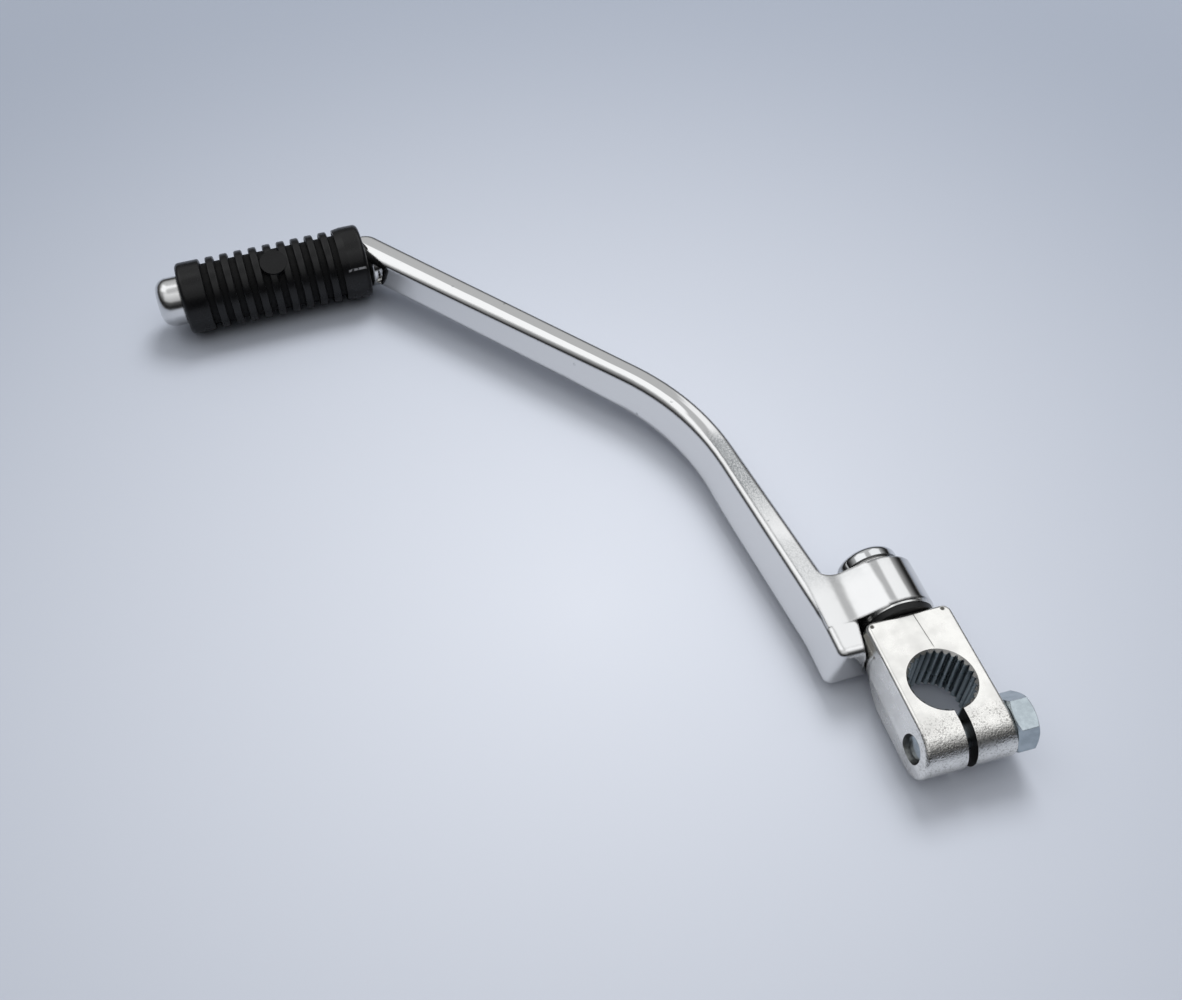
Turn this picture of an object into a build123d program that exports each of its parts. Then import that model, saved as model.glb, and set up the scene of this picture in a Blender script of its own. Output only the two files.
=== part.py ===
from build123d import *
import os
from math import cos, pi, radians, sin, tan

os.makedirs("parts", exist_ok=True)

# Folding kick start lever, lying as stowed with its engine side up.
# Origin: middle of the splined bore. Z: bore axis. Y: pivot axis, from the bore to the boss.

# Splined bore of the knuckle
spline_teeth = 28
spline_minor_r = 8.5
spline_depth = 0.75
tooth_crest = 0.5
tooth_root = 0.3
mouth_chamfer = 1.0
slit_width = 2.6

# Forged knuckle block
block_thickness = 17.6
block_top_width = 25.0
block_boss_face = 22.0
block_clamp_end = 20.9
parting_z = -1.0
draft_up = 10.0
draft_down = 4.0
block_edge_r = 1.2
block_corner_r = 2.4
parting_r = 4.0
relief_r = 13.5
relief_run = 16.0
relief_rise = 4.0
relief_above = 24.0
relief_below = 127.0

# Clamp bolt
bolt_d = 8.0
bolt_wall = 0.05
bolt_clear = 0.05
thread_clear = 0.05
bolt_z = 1.4
bolt_turn = 14.2
bolt_af = 14.0
bolt_head = 6.3
bolt_end_recess = 1.5
seat_depth = 1.4
seat_r = 8.7

# Pivot
spigot_r = 7.0
boss_r = 11.6
boss_length = 15.6
boss_edge = 0.6
running_clear = 0.05
end_play = 0.05
seal_thickness = 1.8
seal_r = 10.8
washer_thickness = 0.55
washer_r = 11.0
thrust_thickness = 1.0
thrust_r = 9.6
ring_thickness = 1.2
ring_r = 8.5
ring_groove = 0.7
ring_gap = 5.0
cap_r = 9.2
cap_skirt = 3.0
cap_height = 6.0
cap_edge = 2.2

# Detent
ball_r = 2.5
ball_stand = 1.0
ball_clear = 0.1
swing = 90.0
spring_wire = 0.6
spring_turns = 4
pocket_floor = 2.4

# Reach of the lever, from the bore to the root of the peg
lever_reach = 222.35
lever_offset = 117.9

# Arm bar: outline of its lower face in plan, drafted upwards
foot_y = 14.8
foot_inner_x = -14.7
foot_spread = 0.2
foot_clear = 0.6
foot_outer_x = -25.1
knee_y = 28.0
knee_inner_x = -10.6
knee_outer_x = -25.4
knee_r = 60.0
bend_inner = (-35.25, 112.9)
bend_outer = (-23.4, 120.6)
bend_inner_r = 82.5
bend_outer_r = 89.6
neck_front = 8.5
neck_back = 10.85
elbow_in = 5.25
neck_bend = 9.0
bar_draft = 12.3
bar_edge_r = 2.3
bar_low_r = 2.2
foot_corner_r = 2.4
web_fillet = 7.0
web_tangent = 111.0
web_blend = 20.0
web_corner_r = 1.2

# Arm bar in side view
bar_top = 7.0
bar_low = -8.0
tip_low = -3.0
mid_low = -4.9
taper_start = 78.0
taper_end = 150.0
taper_blend = 150.0

# Peg
peg_turn = 3.35
peg_r = 6.0
pocket_wall = 2.4
pocket_width = 2.6
pocket_depth = 4.0
pocket_height = 7.0
head_r = 8.5
head_height = 8.4
head_shoulder = 4.4
rubber_clear = 0.05

# Pedal rubber
rubber_length = 64.8
rib_r = 12.55
groove_depth = 1.9
groove_width = 2.1
rib_count = 9
rib_edge = 0.7
outer_collar = 8.5
inner_collar = 9.2
inner_collar_r = 13.0
inner_collar_blend = 2.6
collar_edge = 1.6
disc_r = 4.6
disc_turn = 23.5
disc_stand = 0.1
disc_shift = 0.95

# Values that follow from the sizes above
half_thick = block_thickness / 2
spline_root_r = spline_minor_r + spline_depth
top_half = block_top_width / 2
parting_half = top_half + (half_thick - parting_z) * tan(radians(draft_up))
round_y = half_thick - block_clamp_end
bolt_hole_r = bolt_d / 2 + bolt_clear
bolt_y = -(spline_root_r + bolt_wall + bolt_hole_r)
bolt_shank_r = bolt_d / 2
thread_hole_r = bolt_shank_r + thread_clear
seat_x = parting_half - seat_depth
seal_y = block_boss_face + end_play
washer_y = seal_y + seal_thickness + end_play
boss_y = washer_y + washer_thickness + end_play
boss_end = boss_y + boss_length
thrust_y = boss_end + end_play
ring_y = thrust_y + thrust_thickness + end_play
cap_y = ring_y + ring_thickness + 2 * end_play
spigot_end = cap_y + cap_skirt
detent_y = boss_y + boss_length / 2
ball_centre = spigot_r + ball_stand - ball_r
pocket_r = ball_r + ball_clear
peg_rise = inner_collar_r - boss_r
ribs_end = rubber_length - outer_collar
rib_pitch = (ribs_end - inner_collar - groove_width) / rib_count


# Knuckle: drafted forging with the pivot spigot, splined clamp bore and swing relief
with BuildPart() as knuckle:
    with BuildSketch(Plane.XY.offset(parting_z)) as parting_face:
        Rectangle(2 * parting_half, 4 * block_boss_face)
    extrude(amount=half_thick - parting_z, taper=draft_up)
    extrude(parting_face.sketch, amount=half_thick + parting_z, dir=(0, 0, -1), taper=draft_down)
    with BuildSketch(Plane.YZ.offset(-2 * parting_half)) as side_face:
        with BuildLine():
            far_top = (block_boss_face, half_thick)
            Polyline((round_y, half_thick), far_top, (block_boss_face, -half_thick), (round_y, -half_thick))
            ThreePointArc((round_y, -half_thick), (-block_clamp_end, 0), (round_y, half_thick))
        make_face()
    extrude(amount=4 * parting_half, mode=Mode.INTERSECT)
    ridges = knuckle.edges().filter_by(Axis.Y).filter_by(lambda e: abs(e.center().Z - parting_z) < 0.1)
    fillet(ridges, radius=parting_r)
    boss_edges = knuckle.edges().filter_by(lambda e: e.center().Y > block_boss_face - 0.1)
    fillet(boss_edges.filter_by(lambda e: abs(e.center().X) > 1), radius=block_corner_r)
    top_face = knuckle.faces().sort_by(Axis.Z)[-1]
    end_edges = knuckle.edges().filter_by(lambda e: e.center().Y < round_y and abs(e.center().X) > 1)
    fillet(top_face.edges().filter_by(Axis.Y) + end_edges, radius=block_edge_r)

    # swing relief for the foot of the arm, from the left side round to below
    lift = radians(relief_above)
    relief_x = (-cos(lift), 0, sin(lift))
    with BuildSketch(Plane(origin=(0, 0, 0), x_dir=relief_x, z_dir=(-sin(lift), 0, -cos(lift)))):
        with BuildLine():
            relief_top = block_boss_face + end_play
            relief_start = foot_y - 1.2
            outer = 3 * relief_r
            slope_end = (relief_r + relief_rise, relief_start - relief_run)
            Polyline((relief_r, relief_top), (relief_r, relief_start), slope_end,
                     (outer, relief_start - relief_run), (outer, relief_top), close=True)
        make_face()
    revolve(axis=Axis.Y, revolution_arc=-(relief_above + relief_below), mode=Mode.SUBTRACT)

    # pivot spigot with its ring groove
    with BuildSketch(Plane.XZ.offset(-block_boss_face)):
        Circle(spigot_r)
    extrude(amount=-(spigot_end - block_boss_face))
    with BuildSketch(Plane.XZ.offset(-(ring_y - end_play))):
        Circle(spigot_r + ring_groove)
        Circle(spigot_r - ring_groove, mode=Mode.SUBTRACT)
    extrude(amount=-(ring_thickness + 2 * end_play), mode=Mode.SUBTRACT)
    chamfer(knuckle.faces().sort_by(Axis.Y)[-1].edges(), length=0.5)

    # splined bore with a chamfered mouth on both faces
    with BuildSketch(Plane.XY.offset(-half_thick)):
        Circle(spline_minor_r)
        gap_half = pi * spline_minor_r / spline_teeth - tooth_crest / 2
        root_half = tooth_root / 2
        with PolarLocations(spline_minor_r, spline_teeth):
            Polygon((-0.3, -gap_half), (0, -gap_half), (spline_depth, -root_half), (spline_depth, root_half),
                    (0, gap_half), (-0.3, gap_half), align=None)
    extrude(amount=block_thickness, mode=Mode.SUBTRACT)
    mouth_r = spline_minor_r + mouth_chamfer
    with Locations((0, 0, half_thick - mouth_chamfer / 2)):
        Cone(spline_minor_r, mouth_r, mouth_chamfer, mode=Mode.SUBTRACT)
    with Locations((0, 0, mouth_chamfer / 2 - half_thick)):
        Cone(mouth_r, spline_minor_r, mouth_chamfer, mode=Mode.SUBTRACT)

    # clamp slit, bolt holes and head seat
    with BuildSketch(Plane.XY.offset(-half_thick)):
        with Locations((0, -block_clamp_end)):
            Rectangle(slit_width, 2 * (block_clamp_end - spline_minor_r) + 1.0)
    extrude(amount=block_thickness, mode=Mode.SUBTRACT)
    with BuildSketch(Plane.YZ):
        with Locations((bolt_y, bolt_z)):
            Circle(bolt_hole_r)
    extrude(amount=2 * parting_half, mode=Mode.SUBTRACT)
    with BuildSketch(Plane.YZ):
        with Locations((bolt_y, bolt_z)):
            Circle(thread_hole_r)
    extrude(amount=-2 * parting_half, mode=Mode.SUBTRACT)
    with BuildSketch(Plane.YZ.offset(seat_x)):
        with Locations((bolt_y, bolt_z)):
            Circle(seat_r)
    extrude(amount=parting_half, mode=Mode.SUBTRACT)

    # radial pocket of the detent
    with BuildSketch(Plane.YZ.offset(-pocket_floor)):
        with Locations((detent_y, 0)):
            Circle(pocket_r)
    extrude(amount=pocket_floor + spigot_r + 1, mode=Mode.SUBTRACT)


# Clamp bolt: plain hexagon with a chamfered top
with BuildPart() as clamp_bolt:
    with BuildSketch(Plane.YZ.offset(seat_x)):
        with Locations((bolt_y, bolt_z)):
            RegularPolygon(bolt_af / 2, 6, major_radius=False, rotation=bolt_turn)
    extrude(amount=bolt_head)
    corner_r = bolt_af / 2 / cos(radians(30))
    with BuildSketch(Plane.XY.offset(bolt_z)):
        with BuildLine():
            head_top = seat_x + bolt_head
            rim_drop = (corner_r - bolt_af / 2 + 0.2) * tan(radians(30))
            flat_y = bolt_y - bolt_af / 2 + 0.2
            Polyline((seat_x, bolt_y), (seat_x, flat_y), (seat_x + rim_drop, bolt_y - corner_r),
                     (head_top - rim_drop, bolt_y - corner_r), (head_top, flat_y), (head_top, bolt_y),
                     close=True)
        make_face()
    bolt_axis = Axis((0, bolt_y, bolt_z), (1, 0, 0))
    revolve(axis=bolt_axis, mode=Mode.INTERSECT)
    with BuildSketch(Plane.YZ.offset(seat_x)):
        with Locations((bolt_y, bolt_z)):
            Circle(bolt_shank_r)
    extrude(amount=-(seat_x + parting_half - bolt_end_recess))
    chamfer(clamp_bolt.faces().sort_by(Axis.X)[0].edges(), length=0.8)


# Rings on the spigot
with BuildPart() as dust_seal:
    with BuildSketch(Plane.XZ.offset(-seal_y)):
        Circle(seal_r)
        Circle(spigot_r + running_clear, mode=Mode.SUBTRACT)
    extrude(amount=-seal_thickness)

with BuildPart() as pivot_washer:
    with BuildSketch(Plane.XZ.offset(-washer_y)):
        Circle(washer_r)
        Circle(spigot_r + running_clear, mode=Mode.SUBTRACT)
    extrude(amount=-washer_thickness)

with BuildPart() as thrust_washer:
    with BuildSketch(Plane.XZ.offset(-thrust_y)):
        Circle(thrust_r)
        Circle(spigot_r + running_clear, mode=Mode.SUBTRACT)
    extrude(amount=-thrust_thickness)

with BuildPart() as retaining_ring:
    with BuildSketch(Plane.XZ.offset(-ring_y)):
        Circle(ring_r)
        Circle(spigot_r - ring_groove + running_clear, mode=Mode.SUBTRACT)
        with Locations((0, -ring_r)):
            Rectangle(ring_gap, 2 * ring_r - spigot_r, mode=Mode.SUBTRACT)
    extrude(amount=-ring_thickness)

# Domed cap pressed over the end of the spigot
with BuildPart() as pivot_cap:
    with BuildSketch(Plane.XY) as cap_section:
        with BuildLine():
            cap_top = cap_y + cap_height
            shoulder = (cap_r, cap_y + cap_skirt)
            crown = cap_height - cap_skirt
            crown_r = (cap_r ** 2 + crown ** 2) / (2 * crown)
            Polyline((0, cap_top), (0, cap_y), (cap_r, cap_y), shoulder)
            RadiusArc(shoulder, (0, cap_top), -crown_r)
        make_face()
        fillet(cap_section.vertices().sort_by_distance((*shoulder, 0))[0], radius=cap_edge)
    revolve(axis=Axis.Y)
    with BuildSketch(Plane.XZ.offset(-cap_y)):
        Circle(spigot_r + running_clear)
    extrude(amount=-(spigot_end - cap_y + end_play), mode=Mode.SUBTRACT)


# Detent ball and its spring in the spigot
with BuildPart() as detent_ball:
    with Locations((ball_centre, detent_y, 0)):
        Sphere(ball_r)

with BuildPart() as detent_spring:
    coil_r = ball_r - spring_wire - 0.2
    coil_start = spring_wire / 2 + end_play - pocket_floor
    ball_back = ball_centre - (ball_r ** 2 - coil_r ** 2) ** 0.5
    coil_height = ball_back - coil_start - spring_wire
    with BuildLine() as coil:
        coil_base = (coil_start, detent_y, 0)
        Helix(coil_height / spring_turns, coil_height, coil_r, center=coil_base, direction=(1, 0, 0))
    with BuildSketch(Plane(coil.line @ 0, z_dir=coil.line % 0)):
        Circle(spring_wire / 2)
    sweep(is_frenet=True)


# Arm: drafted bar cut to its side outline
root_x = -lever_offset
neck_y = lever_reach - neck_front
inner_slope = (neck_y - bend_inner[1]) / (bend_inner[0] - root_x)
elbow = (root_x + elbow_in, lever_reach + neck_back)
draft_in = (bar_top - bar_low) * tan(radians(bar_draft))
tx = boss_r * cos(radians(web_tangent))
tz = boss_r * sin(radians(web_tangent))
shelf_x = tx + (tz - bar_top) / tx * tz
outer_slope = (bend_outer[0] - knee_inner_x) / (bend_outer[1] - knee_y)

with BuildPart() as bar:
    with BuildSketch(Plane.XY.offset(bar_low)) as bar_plan:
        with BuildLine():
            past_root = (root_x - 8, neck_y + 8 * inner_slope)
            foot_inner_y = boss_y + 1.0
            Polyline((foot_inner_x, 0), (foot_inner_x + foot_spread * foot_inner_y, foot_inner_y),
                     (knee_inner_x, knee_y), bend_outer, elbow,
                     (root_x - 8, elbow[1]), past_root, bend_inner, (knee_outer_x, knee_y),
                     (foot_outer_x, 0), close=True)
        make_face()
        corners = bar_plan.vertices()
        fillet(corners.sort_by_distance((*bend_inner, 0))[0], radius=bend_inner_r)
        corners = bar_plan.vertices()
        fillet(corners.sort_by_distance((*bend_outer, 0))[0], radius=bend_outer_r)
        corners = bar_plan.vertices()
        fillet(corners.sort_by_distance((*elbow, 0))[0], radius=neck_bend)
        corners = bar_plan.vertices()
        fillet(corners.sort_by_distance((knee_outer_x, knee_y, 0))[0], radius=knee_r)
    extrude(amount=bar_top - bar_low, taper=bar_draft)
    with BuildSketch(Plane.YZ.offset(root_x - 2)) as bar_side:
        with BuildLine():
            beyond = elbow[1] + 10
            Polyline((foot_y, bar_top), (beyond, bar_top), (beyond, tip_low), (taper_end, mid_low),
                     (taper_start, bar_low), (foot_y, bar_low), close=True)
        make_face()
        for y, z in ((taper_end, mid_low), (taper_start, bar_low)):
            fillet(bar_side.vertices().sort_by_distance((y, z, 0))[0], radius=taper_blend)
    extrude(amount=-2 * root_x, mode=Mode.INTERSECT)
    foot_corner = bar.edges().sort_by_distance((foot_outer_x + draft_in / 2, foot_y, 0))[0]
    fillet(foot_corner, radius=foot_corner_r)
    side_edges = bar.faces().filter_by(lambda f: f.normal_at().X < -0.3 and f.center().X > root_x - 1).edges()
    low_edges = bar.faces().filter_by(lambda f: f.normal_at().Z < -0.9).edges()
    fillet(low_edges.filter_by(lambda e: e in side_edges), radius=bar_low_r)
    top_edges = bar.faces().sort_by(Axis.Z)[-1].edges()
    fillet(top_edges.filter_by(lambda e: e.center().X > root_x and e.center().X < shelf_x), radius=bar_edge_r)

# Web from the bar to the boss, with the concave fillet behind the boss
with BuildPart() as web:
    with BuildSketch(Plane.XY.offset(-2 * boss_r)) as web_plan:
        with BuildLine():
            wall_x = knee_inner_x - draft_in - bar_edge_r + outer_slope * (boss_end - knee_y)
            wall_end = boss_end + 2 * web_fillet
            wall_end_x = wall_x + outer_slope * 2 * web_fillet
            web_edge = wall_end_x - 2.0
            Polyline((web_edge, boss_y), (0, boss_y), (0, boss_end), (wall_x, boss_end),
                     (wall_end_x, wall_end), (web_edge, wall_end), close=True)
        make_face()
        fillet(web_plan.vertices().sort_by_distance((wall_x, boss_end, 0))[0], radius=web_fillet)
    extrude(amount=4 * boss_r)
    with BuildSketch(Plane.XZ.offset(-boss_y)) as web_profile:
        with BuildLine():
            Polyline((tx, tz), (shelf_x, bar_top), (web_edge, bar_top), (web_edge, bar_low), (tx, -tz),
                     close=True)
        make_face()
        fillet(web_profile.vertices().sort_by_distance((shelf_x, bar_top, 0))[0], radius=web_blend)
    extrude(amount=-(boss_length + 2 * web_fillet), mode=Mode.INTERSECT)

with BuildPart() as boss:
    with BuildSketch(Plane.XZ.offset(-boss_y)):
        Circle(boss_r)
    extrude(amount=-boss_length)
    chamfer(boss.edges(), length=boss_edge)

# Clearance for the swing of the block, rounded where the web meets the foot
with BuildPart() as swing_room:
    with BuildSketch(Plane.XZ):
        Circle(relief_r + foot_clear)
    extrude(amount=-boss_y)
    fillet(swing_room.faces().sort_by(Axis.Y)[-1].edges(), radius=web_corner_r)

with BuildPart() as arm:
    add(bar.part)
    add(web.part)
    add(boss.part)

    add(swing_room.part, mode=Mode.SUBTRACT)

    # bore of the boss and the arc track of the ball
    with BuildSketch(Plane.XZ.offset(-boss_y + 20)):
        Circle(spigot_r + running_clear)
    extrude(amount=-(boss_length + 40), mode=Mode.SUBTRACT)
    with BuildSketch(Plane.XY):
        with Locations((ball_centre, detent_y)):
            Circle(pocket_r)
    revolve(axis=Axis.Y, revolution_arc=swing, mode=Mode.SUBTRACT)
    with Locations((ball_centre, detent_y, 0), (0, detent_y, -ball_centre)):
        Sphere(pocket_r, mode=Mode.SUBTRACT)

    # cast pocket in front of the neck
    pocket_x = root_x + pocket_wall + pocket_width / 2
    pocket_y = neck_y + draft_in / 2
    with Locations((pocket_x, pocket_y, peg_rise - 0.5)):
        Box(pocket_width, 2 * pocket_depth, pocket_height, mode=Mode.SUBTRACT)

    # peg and mushroom head for the rubber
    peg_dir = (-cos(radians(peg_turn)), -sin(radians(peg_turn)), 0)
    peg_plane = Plane(origin=(root_x, lever_reach, peg_rise), x_dir=peg_dir, z_dir=(0, 0, 1))
    with BuildSketch(peg_plane):
        with Locations((6, 0)):
            Rectangle(12, 4 * rib_r)
    extrude(amount=4 * rib_r, both=True, mode=Mode.SUBTRACT)
    with BuildSketch(peg_plane) as peg_section:
        with BuildLine():
            head_start = rubber_length + 2 * rubber_clear
            head_end = head_start + head_height
            Polyline((head_end, 0), (-peg_r, 0), (-peg_r, peg_r - 1), (0, peg_r - 1), (0, peg_r),
                     (head_start, peg_r), (head_start, head_r), (head_end, head_r), close=True)
        make_face()
        fillet(peg_section.vertices().sort_by_distance((head_end, head_r, 0))[0], radius=head_shoulder)
    revolve(axis=Axis(peg_plane.origin, peg_dir))


# Pedal rubber: ribbed sleeve with a plain flat disc moulded across its ribs
with BuildPart() as rubber_disc:
    disc_at = ribs_end - groove_width / 2 - (rib_count // 2 + 0.5) * rib_pitch - disc_shift
    across = Vector(sin(radians(peg_turn)), -cos(radians(peg_turn)), 0)
    disc_up = across * sin(radians(disc_turn)) + Vector(0, 0, cos(radians(disc_turn)))
    disc_origin = Vector(root_x, lever_reach, peg_rise) + Vector(*peg_dir) * disc_at
    with BuildSketch(Plane(origin=disc_origin, x_dir=peg_dir, z_dir=disc_up)):
        Circle(disc_r)
    extrude(amount=rib_r + disc_stand)
    with BuildSketch(Plane(origin=disc_origin, z_dir=peg_dir).offset(-2 * disc_r)):
        Circle(rib_r - groove_depth - 0.6)
    extrude(amount=4 * disc_r, mode=Mode.SUBTRACT)

with BuildPart() as pedal_rubber:
    with BuildSketch(peg_plane) as sleeve:
        with BuildLine():
            near_end = rubber_clear
            far_end = near_end + rubber_length
            ribs_start = inner_collar
            Polyline((near_end, peg_r + rubber_clear), (near_end, inner_collar_r),
                     (ribs_start - inner_collar_blend, inner_collar_r), (ribs_start, rib_r), (far_end, rib_r),
                     (far_end, peg_r + rubber_clear), close=True)
        make_face()
        fillet(sleeve.vertices().group_by(Axis.Y)[-1], radius=collar_edge)
        fillet(sleeve.vertices().sort_by_distance((far_end, rib_r, 0))[0], radius=collar_edge)
        for n in range(rib_count + 1):
            with Locations((ribs_start + groove_width / 2 + n * rib_pitch, rib_r)):
                Rectangle(groove_width, 2 * groove_depth, mode=Mode.SUBTRACT)
        shoulders = sleeve.vertices().filter_by(lambda v: abs(v.Y - rib_r) < 0.01 and v.X > ribs_start + 0.1)
        fillet(shoulders.filter_by(lambda v: v.X < ribs_end + 0.1), radius=rib_edge)
    revolve(axis=Axis(peg_plane.origin, peg_dir))
    add(rubber_disc.part)


arm.part.label = "arm"
export_step(arm.part, "parts/arm.step")
knuckle.part.label = "knuckle"
export_step(knuckle.part, "parts/knuckle.step")
clamp_bolt.part.label = "clamp_bolt"
export_step(clamp_bolt.part, "parts/clamp_bolt.step")
dust_seal.part.label = "dust_seal"
export_step(dust_seal.part, "parts/dust_seal.step")
pivot_washer.part.label = "pivot_washer"
export_step(pivot_washer.part, "parts/pivot_washer.step")
thrust_washer.part.label = "thrust_washer"
export_step(thrust_washer.part, "parts/thrust_washer.step")
retaining_ring.part.label = "retaining_ring"
export_step(retaining_ring.part, "parts/retaining_ring.step")
pivot_cap.part.label = "pivot_cap"
export_step(pivot_cap.part, "parts/pivot_cap.step")
detent_ball.part.label = "detent_ball"
export_step(detent_ball.part, "parts/detent_ball.step")
detent_spring.part.label = "detent_spring"
export_step(detent_spring.part, "parts/detent_spring.step")
pedal_rubber.part.label = "pedal_rubber"
export_step(pedal_rubber.part, "parts/pedal_rubber.step")
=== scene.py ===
import math

import bmesh
import bpy
from mathutils import Matrix, Vector


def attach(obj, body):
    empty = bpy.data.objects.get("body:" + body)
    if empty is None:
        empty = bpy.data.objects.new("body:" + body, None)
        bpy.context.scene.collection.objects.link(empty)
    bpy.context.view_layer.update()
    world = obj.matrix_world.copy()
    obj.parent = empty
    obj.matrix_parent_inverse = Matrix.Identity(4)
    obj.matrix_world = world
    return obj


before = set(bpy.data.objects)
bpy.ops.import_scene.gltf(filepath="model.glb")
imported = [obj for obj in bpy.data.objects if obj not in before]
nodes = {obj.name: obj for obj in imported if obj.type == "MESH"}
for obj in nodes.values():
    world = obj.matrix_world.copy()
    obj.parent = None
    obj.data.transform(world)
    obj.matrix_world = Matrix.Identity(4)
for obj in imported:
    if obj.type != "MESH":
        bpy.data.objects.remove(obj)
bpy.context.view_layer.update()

MM = 0.001
FLOOR_Z = -11.6 * MM


def rgb(r, g, b):
    return (r, g, b, 1.0)


def add_object(name, data):
    obj = bpy.data.objects.new(name, data)
    bpy.context.scene.collection.objects.link(obj)
    return obj


# Small helpers for the shader graph of a material or of the world
class Graph:
    def __init__(self, owner):
        owner.use_nodes = True
        self.owner = owner
        self.tree = owner.node_tree
        self.tree.nodes.clear()

    def add(self, kind, inputs=None, **props):
        n = self.tree.nodes.new(kind)
        for k, v in props.items():
            setattr(n, k, v)
        for k, v in (inputs or {}).items():
            self.put(n.inputs[k], v)
        return n

    def put(self, socket, value):
        if isinstance(value, bpy.types.NodeSocket):
            self.tree.links.new(value, socket)
        else:
            socket.default_value = value

    def math(self, op, a, b=None):
        n = self.add("ShaderNodeMath", operation=op)
        self.put(n.inputs[0], a)
        if b is not None:
            self.put(n.inputs[1], b)
        return n.outputs[0]

    def chain(self, op, first, others):
        for other in others:
            first = self.math(op, first, other)
        return first

    def times(self, first, *others):
        return self.chain("MULTIPLY", first, others)

    def plus(self, first, *others):
        return self.chain("ADD", first, others)

    def most(self, first, *others):
        return self.chain("MAXIMUM", first, others)

    def minus(self, a, b):
        return self.math("SUBTRACT", a, b)

    def ramp(self, value, low, high, to_low=0.0, to_high=1.0):
        """Goes smoothly from to_low to to_high as value goes from low to high."""
        n = self.add("ShaderNodeMapRange", clamp=True, interpolation_type="SMOOTHSTEP")
        places = ("Value", "From Min", "From Max", "To Min", "To Max")
        for k, v in zip(places, (value, low, high, to_low, to_high)):
            self.put(n.inputs[k], v)
        return n.outputs[0]

    def span(self, value, start, full, fade, end):
        """1 from full to fade, 0 before start and after end."""
        return self.times(self.ramp(value, start, full), self.ramp(value, end, fade))

    def near(self, value, centre, half, soft):
        """1 where value is within half of centre, 0 beyond a soft rim."""
        gap = self.math("ABSOLUTE", self.minus(value, centre))
        return self.ramp(gap, half + soft, half)

    def length(self, a, b):
        return self.math("SQRT", self.plus(self.times(a, a), self.times(b, b)))

    def mix(self, factor, a, b):
        n = self.add("ShaderNodeMix", data_type="RGBA")
        self.put(n.inputs[0], factor)
        self.put(n.inputs[6], a)
        self.put(n.inputs[7], b)
        return n.outputs[2]

    def dot(self, vector, axis):
        n = self.add("ShaderNodeVectorMath", operation="DOT_PRODUCT")
        self.put(n.inputs[0], vector)
        n.inputs[1].default_value = axis
        return n.outputs["Value"]

    def place(self):
        return self.add("ShaderNodeTexCoord").outputs["Object"]

    def coords(self):
        vec = self.place()
        sep = self.add("ShaderNodeSeparateXYZ", {"Vector": vec})
        return vec, sep.outputs[0], sep.outputs[1], sep.outputs[2]

    def noise(self, vector, scale, detail=3.0, rough=0.6):
        inputs = {"Vector": vector, "Scale": scale, "Detail": detail, "Roughness": rough}
        return self.add("ShaderNodeTexNoise", inputs).outputs["Fac"]

    def cells(self, vector, scale):
        n = self.add("ShaderNodeTexVoronoi", {"Vector": vector, "Scale": scale})
        return n.outputs["Distance"]

    def bump(self, height, distance, normal=None):
        n = self.add("ShaderNodeBump", {"Strength": 1.0, "Distance": distance, "Height": height})
        if normal is not None:
            self.put(n.inputs["Normal"], normal)
        return n.outputs["Normal"]

    def soft_edge(self, radius):
        return self.add("ShaderNodeBevel", {"Radius": radius}, samples=4).outputs["Normal"]

    def surface(self, **inputs):
        p = self.add("ShaderNodeBsdfPrincipled")
        for k, v in inputs.items():
            self.put(p.inputs[k.replace("_", " ")], v)
        out = self.add("ShaderNodeOutputMaterial")
        self.put(out.inputs[0], p.outputs[0])
        return self.owner


# Reach of a noise: the values between which it is taken to go from its least to its most
GRAIN_REACH = (0.3, 0.7)
HAZE_REACH = (0.35, 0.75)

# Chrome of the arm: a mirror, with cast skin left on the flat of its near half, a duller web
# and a crowned top on its far half, which follows the bend
CHROME = rgb(0.69, 0.69, 0.69)
CHROME_MARK = rgb(0.27, 0.285, 0.295)
CHROME_EDGE_R = 1.0 * MM
CHROME_ROUGH = (0.035, 0.085)
WAVE_SCALE = 55.0
WAVE_DEPTH = 0.14 * MM
HAZE_SCALE = 240.0
GRIT_SCALE = 2600.0
GRIT_SHADE = (0.60, 0.40, 0.40, 1.0)
PATCH_SCALE = 75.0
PATCH_EDGE = (0.36, 0.50)
SPECK_SCALE = 130.0
SPECK_R = (0.10, 0.04)
SPECK_HAZE = (0.5, 0.6)
SPECK_SHARE = 0.6
TOP_FLAT = (6.90 * MM, 6.98 * MM)
SKIN_BY_BEND = (56 * MM, 84 * MM, 97 * MM, 105 * MM)
SKIN_BY_WEB = (34 * MM, 44 * MM, 52 * MM, 62 * MM)
SKIN_BY_WEB_SHARE = 0.45
SKIN_DEPTH = 0.03 * MM
SKIN_DULL = 0.11
WEB_ACROSS = (-13 * MM, 6 * MM, 4 * MM)
WEB_ALONG = (32 * MM, 8 * MM, 5 * MM)
WEB_SHARE = 0.5
WEB_DULL = 0.07
PEG_HEAD = (-181 * MM, -183 * MM)
PEG_HEAD_DULL = 0.10
FAR_ACROSS = Vector((0.7789, 0.6272, 0.0))
FAR_ALONG = Vector((-0.6272, 0.7789, 0.0))
BEND_CENTRE = Vector((-114.4, 79.4, 0.0)) * MM
CROWN_R = 89.75 * MM
CROWN_SLOPE = (-4.4 * MM, 0.5 * MM)
CROWN_RISE = 0.98 * MM
CROWN_START = (90 * MM, 122 * MM)
CROWN_END = (-120 * MM, -118 * MM)


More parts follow.
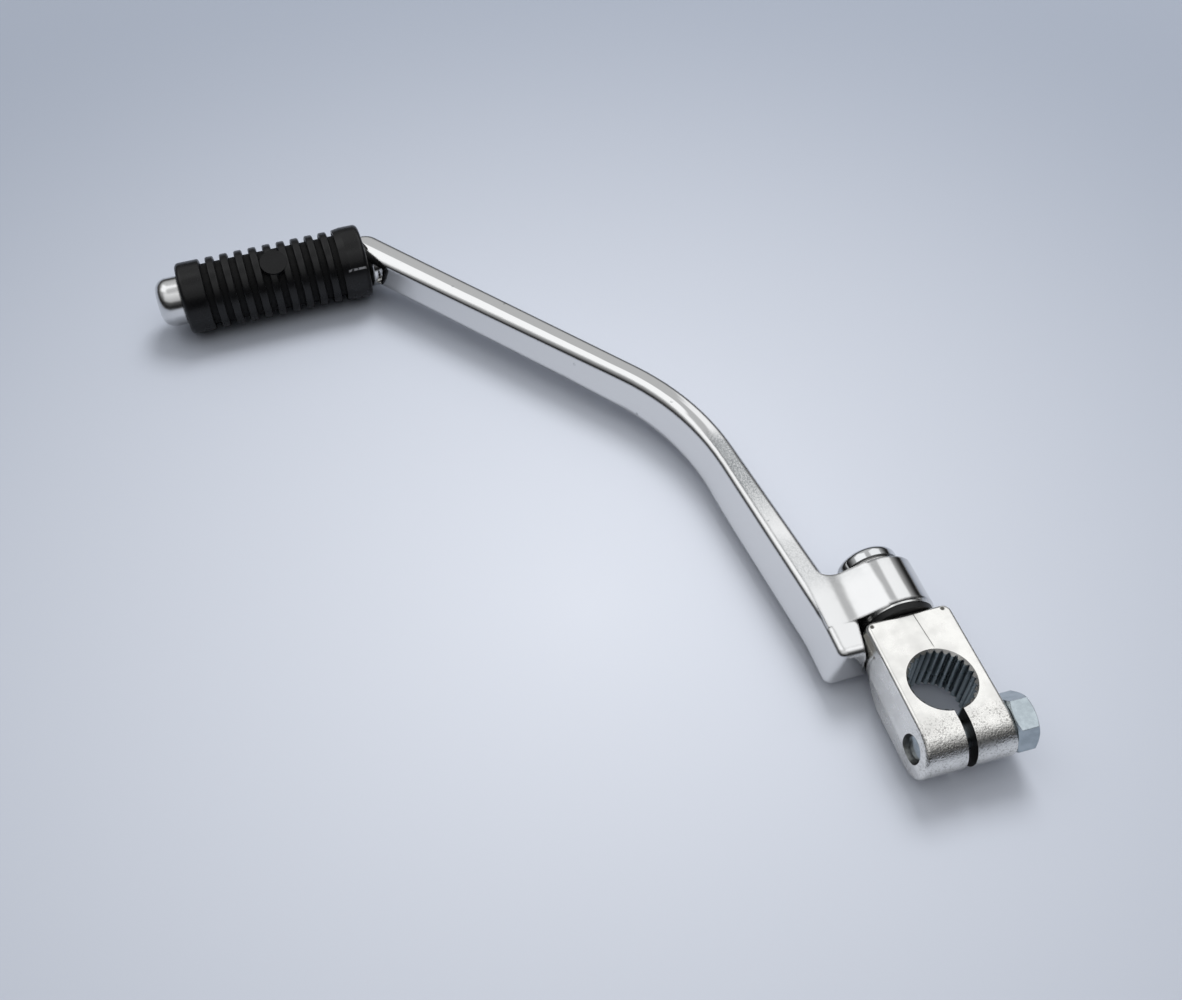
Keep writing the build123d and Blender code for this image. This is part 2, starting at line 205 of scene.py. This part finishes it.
def arm_chrome(name):
    g = Graph(bpy.data.materials.new(name))
    vec, x, y, z = g.coords()
    wave = g.noise(vec, WAVE_SCALE, detail=2.0, rough=0.5)
    haze = g.noise(vec, HAZE_SCALE)
    grit = g.noise(vec, GRIT_SCALE)

    # cast skin, web, head of the peg and fine specks
    patch = g.ramp(g.noise(vec, PATCH_SCALE), *PATCH_EDGE)
    by_web = g.times(g.span(y, *SKIN_BY_WEB), SKIN_BY_WEB_SHARE)
    skin = g.times(g.ramp(z, *TOP_FLAT), g.most(g.span(y, *SKIN_BY_BEND), by_web), patch)
    web = g.times(g.near(x, *WEB_ACROSS), g.near(y, *WEB_ALONG))
    head = g.ramp(x, *PEG_HEAD)
    specks = g.times(g.ramp(g.cells(vec, SPECK_SCALE), *SPECK_R), g.ramp(haze, *SPECK_HAZE))

    # crown: a slope across the bar, which follows the arc of the bend and then runs straight
    across = g.minus(g.dot(vec, FAR_ACROSS), BEND_CENTRE.dot(FAR_ACROSS))
    along = g.minus(g.dot(vec, FAR_ALONG), BEND_CENTRE.dot(FAR_ALONG))
    off = g.minus(g.length(across, g.math("MINIMUM", along, 0.0)), CROWN_R)
    crown = g.times(g.ramp(off, *CROWN_SLOPE), g.ramp(y, *CROWN_START), g.ramp(x, *CROWN_END))

    rounded = g.bump(crown, CROWN_RISE, g.soft_edge(CHROME_EDGE_R))
    smooth = g.bump(wave, WAVE_DEPTH, rounded)
    uneven = g.plus(g.times(grit, skin), g.times(haze, web, WEB_SHARE))
    normal = g.bump(uneven, SKIN_DEPTH, smooth)
    dull = g.plus(g.times(skin, SKIN_DULL), g.times(web, WEB_DULL), g.times(head, PEG_HEAD_DULL))
    rough = g.plus(g.ramp(haze, *HAZE_REACH, *CHROME_ROUGH), dull)
    mark = g.most(g.times(skin, g.ramp(grit, *GRIT_SHADE)), g.times(specks, SPECK_SHARE))
    colour = g.mix(mark, CHROME, CHROME_MARK)
    return g.surface(Base_Color=colour, Metallic=1.0, Roughness=rough, Normal=normal)


# Chrome of the pressed cap
CAP_CHROME = rgb(0.66, 0.67, 0.68)
CAP_ROUGH = (0.06, 0.13)
CAP_SCALE = 400.0
CAP_DEPTH = 0.02 * MM


def cap_chrome(name):
    g = Graph(bpy.data.materials.new(name))
    haze = g.noise(g.place(), CAP_SCALE)
    rough = g.ramp(haze, *HAZE_REACH, *CAP_ROUGH)
    normal = g.bump(haze, CAP_DEPTH)
    return g.surface(Base_Color=CAP_CHROME, Metallic=1.0, Roughness=rough, Normal=normal)


# Satin nickel of the knuckle, pitted round its clamp end, with painted shade in the bore, the slit and the
# bolt hole
NICKEL = rgb(0.84, 0.83, 0.80)
NICKEL_CLOUD = rgb(0.76, 0.75, 0.725)
NICKEL_MARK = rgb(0.10, 0.095, 0.085)
NICKEL_ROUGH = (0.24, 0.33)
NICKEL_SCALE = 1900.0
NICKEL_DEPTH = 0.09 * MM
NICKEL_CLOUD_SCALE = 150.0
CLAMP_END = (-8 * MM, -13 * MM)
CLAMP_END_GRAIN = (0.15, 1.0)
CLAMP_END_SHINE = 0.05
PIT_SCALE = 1700.0
PIT_SHARE = 0.4
STAIN_GRAIN = (0.50, 0.36)
STAIN_CLOUD = (0.36, 0.52)
STAIN_SHARE = 0.55
BLOCK_TOP = (8.5 * MM, 8.75 * MM)
BLOCK_LEFT = (-12.6 * MM, -13.0 * MM)
SEAM_LEAN = 0.07
SEAM_LINE = (3.05 * MM, 0.05 * MM, 0.10 * MM)
SEAM_START = (9 * MM, 11 * MM)
SEAM_WEAR = (0.38, 0.5)
SEAM_SHARE = 0.7
DENTS = ((-11.0 * MM, 20.3 * MM), (10.2 * MM, 20.6 * MM))
DENT_R = (0.75 * MM, 0.35 * MM)
SCRATCH_LEAN = 0.12
SCRATCH_LINE = (-1.1 * MM, 0.04 * MM, 0.08 * MM)
SCRATCH_RUN = (-12 * MM, -8 * MM, 8 * MM, 10 * MM)
DASH_LINE = (-5.4 * MM, 0.05 * MM, 0.10 * MM)
DASH_START = (-15 * MM, -16 * MM)
DASH_SCALE = 420.0
DASH_EDGE = (0.48, 0.54)
BORE_RIM = (9.6 * MM, 9.4 * MM)
BORE_DEPTH = (0.0, 7.9 * MM, 0.2 * MM)
BORE_CREST = 8.5 * MM
BORE_ROOT = 9.25 * MM
TOOTH_CREST_SHADE = rgb(0.50, 0.56, 0.58)
TOOTH_ROOT_SHADE = rgb(0.09, 0.11, 0.115)
SLIT_ACROSS = (0.0, 1.33 * MM, 0.03 * MM)
SLIT_START = (-8.6 * MM, -9.4 * MM)
SLIT_SHADE = rgb(0.035, 0.032, 0.028)
SLIT_DULL = 0.2
BOLT_Y = -13.35 * MM
BOLT_Z = 1.4 * MM
BOLT_HOLE_R = (4.15 * MM, 4.08 * MM)
BOLT_HOLE_SHADE = 0.6


def knuckle_nickel(name):
    g = Graph(bpy.data.materials.new(name))
    vec, x, y, z = g.coords()
    grain = g.noise(vec, NICKEL_SCALE, detail=4.0, rough=0.65)
    cloud = g.noise(vec, NICKEL_CLOUD_SCALE)
    pits = g.cells(vec, PIT_SCALE)
    end = g.ramp(y, *CLAMP_END)
    stain = g.times(end, g.ramp(grain, *STAIN_GRAIN), g.ramp(cloud, *STAIN_CLOUD), STAIN_SHARE)

    # fine marks of the top face: parting line and two small dents
    top = g.ramp(z, *BLOCK_TOP)
    seam_x = g.plus(x, g.times(y, SEAM_LEAN))
    seam = g.times(g.near(seam_x, *SEAM_LINE), g.ramp(y, *SEAM_START), top,
                   g.ramp(cloud, *SEAM_WEAR), SEAM_SHARE)
    spots = []
    for dent_x, dent_y in DENTS:
        away = g.length(g.minus(x, dent_x), g.minus(y, dent_y))
        spots.append(g.times(g.ramp(away, *DENT_R), top))
    dents = g.most(*spots)

    # scratch along the left face and dashes of the parting on the clamp end
    track = g.minus(z, g.times(y, SCRATCH_LEAN))
    scratch = g.times(g.near(track, *SCRATCH_LINE), g.ramp(x, *BLOCK_LEFT), g.span(y, *SCRATCH_RUN))
    broken = g.ramp(g.noise(vec, DASH_SCALE, detail=2.0, rough=0.5), *DASH_EDGE)
    dash = g.times(g.near(z, *DASH_LINE), g.ramp(y, *DASH_START), broken)

    # painted shade: the bore wall, the slit and the bolt hole are darkened
    radius = g.length(x, y)
    bore = g.times(g.ramp(radius, *BORE_RIM), g.near(z, *BORE_DEPTH))
    # painted shade: the inside of the clamp slit is coloured near black
    slit = g.times(g.near(x, *SLIT_ACROSS), g.ramp(y, *SLIT_START))
    # painted shade: the walls of the bolt hole are darkened
    hole = g.ramp(g.length(g.minus(y, BOLT_Y), g.minus(z, BOLT_Z)), *BOLT_HOLE_R)
    dark = g.most(slit, g.times(hole, BOLT_HOLE_SHADE))

    plain = g.mix(g.ramp(cloud, *HAZE_REACH), NICKEL, NICKEL_CLOUD)
    marked = g.mix(g.most(seam, dents, dash, stain), plain, NICKEL_MARK)
    # painted shade in the bore: the wall darkens from the tooth crests to the roots
    wall = g.mix(g.ramp(radius, BORE_ROOT, BORE_CREST), TOOTH_ROOT_SHADE, TOOTH_CREST_SHADE)
    colour = g.mix(dark, g.mix(bore, marked, wall), SLIT_SHADE)

    cast = g.times(grain, g.ramp(end, 0.0, 1.0, *CLAMP_END_GRAIN))
    pitted = g.minus(cast, g.times(pits, end, PIT_SHARE))
    normal = g.bump(g.minus(pitted, g.most(dents, seam, scratch)), NICKEL_DEPTH)
    dull = g.minus(g.times(dark, SLIT_DULL), g.times(end, CLAMP_END_SHINE))
    rough = g.plus(g.ramp(cloud, *GRAIN_REACH, *NICKEL_ROUGH), dull)
    return g.surface(Base_Color=colour, Metallic=1.0, Roughness=rough, Normal=normal)


# Bluish zinc of the clamp bolt
ZINC = rgb(0.42, 0.475, 0.51)
ZINC_CLOUD = rgb(0.35, 0.40, 0.43)
ZINC_EDGE_R = 0.35 * MM
ZINC_ROUGH = (0.13, 0.23)
ZINC_SCALE = 700.0
ZINC_DEPTH = 0.025 * MM
ZINC_CLOUD_SCALE = 330.0
ZINC_CLOUD_REACH = (0.35, 0.65)


def bolt_zinc(name):
    g = Graph(bpy.data.materials.new(name))
    vec = g.place()
    grain = g.noise(vec, ZINC_SCALE, detail=4.0)
    cloud = g.noise(vec, ZINC_CLOUD_SCALE)
    normal = g.bump(grain, ZINC_DEPTH, g.soft_edge(ZINC_EDGE_R))
    rough = g.ramp(cloud, *GRAIN_REACH, *ZINC_ROUGH)
    colour = g.mix(g.ramp(cloud, *ZINC_CLOUD_REACH), ZINC, ZINC_CLOUD)
    return g.surface(Base_Color=colour, Metallic=1.0, Roughness=rough, Normal=normal)


# Black rubber of the pedal, with painted shade darkening its grooves, which are also duller, and a pale
# nick on the collar by the arm
RUBBER = rgb(0.0050, 0.0050, 0.0055)
RUBBER_GROOVE_SHADE = rgb(0.0008, 0.0008, 0.0009)
RUBBER_NICK = rgb(0.34, 0.34, 0.35)
RUBBER_ROUGH = (0.24, 0.34)
RUBBER_SHEEN = 0.28
RUBBER_SCALE = 1400.0
RUBBER_DEPTH = 0.02 * MM
RUBBER_CLOUD_SCALE = 160.0
PEG_X = -117.9 * MM
PEG_Y = 222.35 * MM
PEG_Z = 1.4 * MM
PEG_TURN = math.radians(3.35)
PEG_SLOPE = math.tan(PEG_TURN)
GROOVE_R = (12.0 * MM, 11.2 * MM)
GROOVE_DULL = 0.4
NICK_LEAN = 0.06
NICK_LINE = (217.85 * MM, 0.10 * MM, 0.14 * MM)
NICK_RUN = (-121.4 * MM, 2.6 * MM, 0.8 * MM)
NICK_ABOVE = (2 * MM, 4 * MM)
NICK_WEAR = (0.36, 0.5)


def pedal_black(name):
    g = Graph(bpy.data.materials.new(name))
    vec, x, y, z = g.coords()
    grain = g.noise(vec, RUBBER_SCALE, detail=4.0)
    cloud = g.noise(vec, RUBBER_CLOUD_SCALE)
    nick_y = g.minus(y, g.times(x, NICK_LEAN))
    nick = g.times(g.near(nick_y, *NICK_LINE), g.near(x, *NICK_RUN), g.ramp(z, *NICK_ABOVE),
                   g.ramp(grain, *NICK_WEAR))
    across = g.plus(g.times(g.minus(x, PEG_X), PEG_SLOPE), g.minus(PEG_Y, y))
    # painted shade: the rubber is coloured darker in the grooves between the ribs
    groove = g.ramp(g.length(across, g.minus(z, PEG_Z)), *GROOVE_R)
    colour = g.mix(nick, g.mix(groove, RUBBER, RUBBER_GROOVE_SHADE), RUBBER_NICK)
    rough = g.plus(g.ramp(cloud, *GRAIN_REACH, *RUBBER_ROUGH), g.times(groove, GROOVE_DULL))
    normal = g.bump(grain, RUBBER_DEPTH)
    return g.surface(Base_Color=colour, Roughness=rough, Specular_IOR_Level=RUBBER_SHEEN, Normal=normal)


# Black rubber of the dust seal
SEAL = rgb(0.006, 0.006, 0.006)
SEAL_ROUGH = (0.45, 0.6)
SEAL_SHEEN = 0.4
SEAL_SCALE = 900.0
SEAL_DEPTH = 0.02 * MM


def seal_black(name):
    g = Graph(bpy.data.materials.new(name))
    grain = g.noise(g.place(), SEAL_SCALE, detail=4.0)
    rough = g.ramp(grain, *GRAIN_REACH, *SEAL_ROUGH)
    normal = g.bump(grain, SEAL_DEPTH)
    return g.surface(Base_Color=SEAL, Roughness=rough, Specular_IOR_Level=SEAL_SHEEN, Normal=normal)


# Turned or drawn steel of the washers, the ring, the ball and the spring
STEEL_SCALE = 1600.0
STEEL_DEPTH = 0.01 * MM
STEEL_BLUE = 0.99
STEEL_SMOOTHER = 0.04
STEEL_ROUGHER = 0.06


def turned_steel(name, level, rough):
    g = Graph(bpy.data.materials.new(name))
    grain = g.noise(g.place(), STEEL_SCALE)
    uneven = g.ramp(grain, *GRAIN_REACH, rough - STEEL_SMOOTHER, rough + STEEL_ROUGHER)
    normal = g.bump(grain, STEEL_DEPTH)
    steel = rgb(level, level, level * STEEL_BLUE)
    return g.surface(Base_Color=steel, Metallic=1.0, Roughness=uneven, Normal=normal)


looks = {
    "arm": arm_chrome("arm_chrome"),
    "pivot_cap": cap_chrome("cap_chrome"),
    "knuckle": knuckle_nickel("satin_nickel"),
    "clamp_bolt": bolt_zinc("blue_zinc"),
    "pedal_rubber": pedal_black("pedal_rubber_black"),
    "dust_seal": seal_black("seal_rubber_black"),
    "pivot_washer": turned_steel("washer_steel", 0.72, 0.22),
    "thrust_washer": turned_steel("thrust_steel", 0.60, 0.30),
    "retaining_ring": turned_steel("ring_steel", 0.30, 0.35),
    "detent_ball": turned_steel("ball_steel", 0.75, 0.08),
    "detent_spring": turned_steel("spring_wire", 0.45, 0.30),
}
for name, mat in looks.items():
    data = nodes[name].data
    data.materials.clear()
    data.materials.append(mat)


# Rounded shoulder of the arm where the bar runs into the rubber
SHOULDER_R = 7.4 * MM
SHOULDER_DROP = 2.2 * MM
SHOULDER_LEAN = 1.0 * MM
SHOULDER_RUN = 3.0 * MM
SHOULDER_NOSE = 6.0 * MM
NOSE_STEPS = 12
ROUND_STEPS = 72
WELD = 0.001 * MM


def neck_shoulder(name, mat):
    inward = Vector((math.cos(PEG_TURN), math.sin(PEG_TURN), 0.0))
    outward = Vector((math.sin(PEG_TURN), -math.cos(PEG_TURN), 0.0))
    root = Vector((PEG_X, PEG_Y, PEG_Z - SHOULDER_DROP)) + outward * SHOULDER_LEAN
    line = [(0.0, 0.0), (0.0, SHOULDER_R)]
    for k in range(NOSE_STEPS + 1):
        t = 0.5 * math.pi * k / NOSE_STEPS
        line.append((SHOULDER_RUN + SHOULDER_NOSE * math.sin(t), SHOULDER_R * math.cos(t)))
    bm = bmesh.new()
    points = [bm.verts.new(root + inward * run + outward * r) for run, r in line]
    edges = [bm.edges.new(pair) for pair in zip(points, points[1:])]
    bmesh.ops.spin(bm, geom=points + edges, cent=root, axis=inward, angle=2 * math.pi,
                   steps=ROUND_STEPS, use_merge=True)
    bmesh.ops.remove_doubles(bm, verts=bm.verts, dist=WELD)
    bmesh.ops.recalc_face_normals(bm, faces=bm.faces)
    for face in bm.faces:
        face.smooth = True
    mesh = bpy.data.meshes.new(name)
    bm.to_mesh(mesh)
    bm.free()
    mesh.materials.append(mat)
    obj = add_object(name, mesh)
    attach(obj, "lever_arm")


neck_shoulder("neck_shoulder", looks["arm"])


# Floor: seamless, with a painted pool of light, pale round the object and darker away from it
FLOOR_HALF = 4.0
FLOOR_POOL_LIT = rgb(0.80, 0.83, 0.905)
FLOOR_POOL_FALLOFF = rgb(0.345, 0.382, 0.458)
FLOOR_ROUGH = 0.6
FLOOR_SHEEN = 0.2
FLOOR_MIDDLE_X = -0.08
FLOOR_MIDDLE_Y = 0.062
FLOOR_FADE = (-0.147, 0.421)


def floor_paint(name):
    g = Graph(bpy.data.materials.new(name))
    _, x, y, _ = g.coords()
    away = g.length(g.minus(x, FLOOR_MIDDLE_X), g.minus(y, FLOOR_MIDDLE_Y))
    # painted light: the floor colour fades from the lit middle of a pool to darker away from it
    colour = g.mix(g.ramp(away, *FLOOR_FADE), FLOOR_POOL_LIT, FLOOR_POOL_FALLOFF)
    return g.surface(Base_Color=colour, Roughness=FLOOR_ROUGH, Specular_IOR_Level=FLOOR_SHEEN)


floor_mesh = bpy.data.meshes.new("floor")
corners = ((-1, -1), (1, -1), (1, 1), (-1, 1))
floor_mesh.from_pydata([(a * FLOOR_HALF, b * FLOOR_HALF, FLOOR_Z) for a, b in corners], [], [(0, 1, 2, 3)])
floor_mesh.materials.append(floor_paint("floor_painted_light_pool"))
floor = add_object("floor", floor_mesh)


# Light tent: a grey ceiling leaning to the back, four soft panels, a dark belt above the floor
# and a faint glow at its foot
TENT = 0.99
TENT_WHITE = rgb(0.98, 0.99, 1.0)
BACKDROP = rgb(0.33, 0.365, 0.44)
CEILING_LEAN = Vector((0.05, 0.45, 0.89)).normalized()
CEILING_FADE = (0.10, 0.95, 0.12, 0.66)
BELT_FADE = (0.16, 0.64, 0.06, 1.0)
GLOW_FADE = (0.10, 0.0, 0.0, 0.26)
PANEL_FRONT = 0.05
# azimuth, elevation, half width, half height, soft rim and level of each panel
PANELS = (
    (136, 57, 0.28, 0.34, 0.06, 0.70),
    (43, 49, 0.25, 0.24, 0.06, 0.60),
    (-18, 62, 0.26, 0.26, 0.08, 0.70),
    (250, 58, 0.60, 0.30, 0.15, 0.42),
)


def toward(azimuth, elevation):
    a, e = math.radians(azimuth), math.radians(elevation)
    return Vector((math.cos(e) * math.cos(a), math.cos(e) * math.sin(a), math.sin(e)))


def panel(w, ray, azimuth, elevation, half_wide, half_high, soft, level):
    middle = toward(azimuth, elevation)
    sideways = toward(azimuth + 90, 0)
    steep = middle.cross(sideways)
    front = w.most(w.dot(ray, middle), PANEL_FRONT)
    across = w.math("DIVIDE", w.dot(ray, sideways), front)
    along = w.math("DIVIDE", w.dot(ray, steep), front)
    return w.times(w.near(across, 0.0, half_wide, soft), w.near(along, 0.0, half_high, soft), level)


world = bpy.data.worlds.new("studio")
bpy.context.scene.world = world
w = Graph(world)
ray = w.add("ShaderNodeTexCoord").outputs["Generated"]
height = w.dot(ray, (0, 0, 1))
ceiling = w.times(w.ramp(w.dot(ray, CEILING_LEAN), *CEILING_FADE), w.ramp(height, *BELT_FADE))
glow = w.ramp(height, *GLOW_FADE)
total = w.plus(ceiling, glow, *[panel(w, ray, *row) for row in PANELS])
tent = w.add("ShaderNodeBackground", {"Color": TENT_WHITE, "Strength": w.times(total, TENT)})
pale = w.add("ShaderNodeBackground", {"Color": BACKDROP, "Strength": 1.0})
path = w.add("ShaderNodeLightPath")
pick = w.add("ShaderNodeMixShader", {"Fac": path.outputs["Is Camera Ray"]})
w.put(pick.inputs[1], tent.outputs[0])
w.put(pick.inputs[2], pale.outputs[0])
out = w.add("ShaderNodeOutputWorld")
w.put(out.inputs[0], pick.outputs[0])

# Soft key from behind on the right, for the shadows alone
KEY_SIZE = 0.55
KEY_POWER = 9.0
KEY_AWAY = 1.35
KEY_FROM = (62, 57)
KEY_AIM = Vector((-0.06, 0.10, 0.0))
key = bpy.data.lights.new("key", "AREA")
key.shape = "RECTANGLE"
key.size = KEY_SIZE
key.size_y = KEY_SIZE
key.energy = KEY_POWER
key_obj = add_object("key", key)
key_obj.location = KEY_AIM + toward(*KEY_FROM) * KEY_AWAY
key_obj.rotation_mode = "QUATERNION"
key_obj.rotation_quaternion = (KEY_AIM - key_obj.location).to_track_quat("-Z", "Y")
key_obj.visible_glossy = False

# Camera, fitted to the outlines of the lever
SENSOR = 36.0
FRAME_WIDE = 1182.0
FOCAL_PIXELS = 1220.0
right = Vector((0.9608, -0.2772, 0.0))
up = Vector((0.2131, 0.7385, 0.6397))
behind = Vector((-0.1773, -0.6147, 0.7686))
spot = Vector((-136.0, -137.1, 286.1)) * MM
cam = bpy.data.cameras.new("camera")
cam.sensor_width = SENSOR
cam.lens = SENSOR * FOCAL_PIXELS / FRAME_WIDE
cam.clip_start = 0.01
cam.clip_end = 20.0
cam_obj = add_object("camera", cam)
cam_obj.matrix_world = Matrix((
    (right.x, up.x, behind.x, spot.x),
    (right.y, up.y, behind.y, spot.y),
    (right.z, up.z, behind.z, spot.z),
    (0.0, 0.0, 0.0, 1.0),
))
bpy.context.scene.camera = cam_obj
bpy.context.scene.view_settings.view_transform = "Standard"
